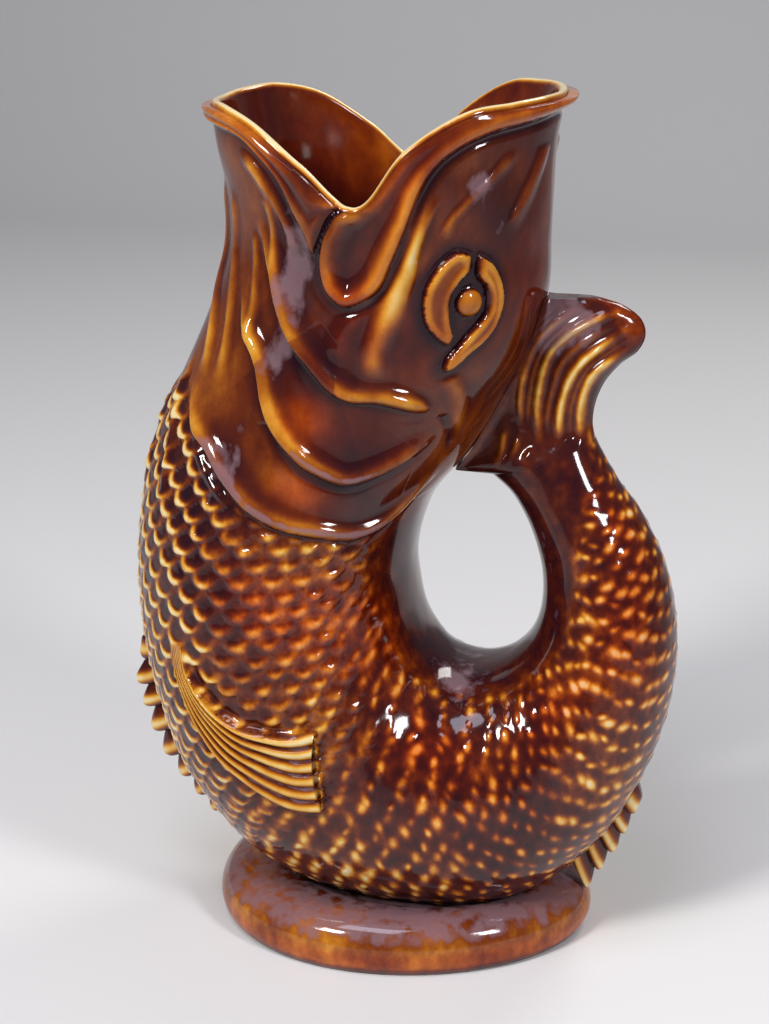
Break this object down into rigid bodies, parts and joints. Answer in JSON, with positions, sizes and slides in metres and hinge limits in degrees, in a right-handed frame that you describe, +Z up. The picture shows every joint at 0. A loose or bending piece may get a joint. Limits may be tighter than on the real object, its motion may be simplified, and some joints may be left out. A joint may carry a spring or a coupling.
{
  "type": "gurgle jug",
  "caption": "Fish-shaped pouring jug in brown glazed earthenware: open mouth with a spout, tail curled up to form the handle loop, oval foot.",
  "frame": {"origin": "on the table under the middle of the jug's overall length and width", "axes": "+Z up, +X from the spout towards the tail that forms the handle, -Y the fish's left side"},
  "size_m": [0.1682, 0.1, 0.2537],
  "materials": {
    "glaze_treacle": "glossy treacle-brown glaze, dark in the hollows and amber on the ridges",
    "glaze_amber": "glossy amber glaze, thin over raised clay",
    "glaze_aubergine": "glossy dark aubergine glaze with amber ridges"
  },
  "bodies": {
    "root": {"foot": "glaze_amber", "body": "glaze_treacle", "head": "glaze_treacle", "tail": "glaze_treacle", "tail_fin": "glaze_amber", "lower_lip": "glaze_amber", "upper_lip": "glaze_amber", "gill_cover_left": "glaze_treacle", "gill_cover_right": "glaze_treacle", "eye_ring_left": "glaze_amber", "eye_ring_right": "glaze_amber", "pupil_left": "glaze_amber", "pupil_right": "glaze_amber", "pectoral_fin_left": "glaze_amber", "pectoral_fin_right": "glaze_amber", "belly_fin": "glaze_aubergine", "vent_fin": "glaze_amber"}
  },
  "joints": []
}
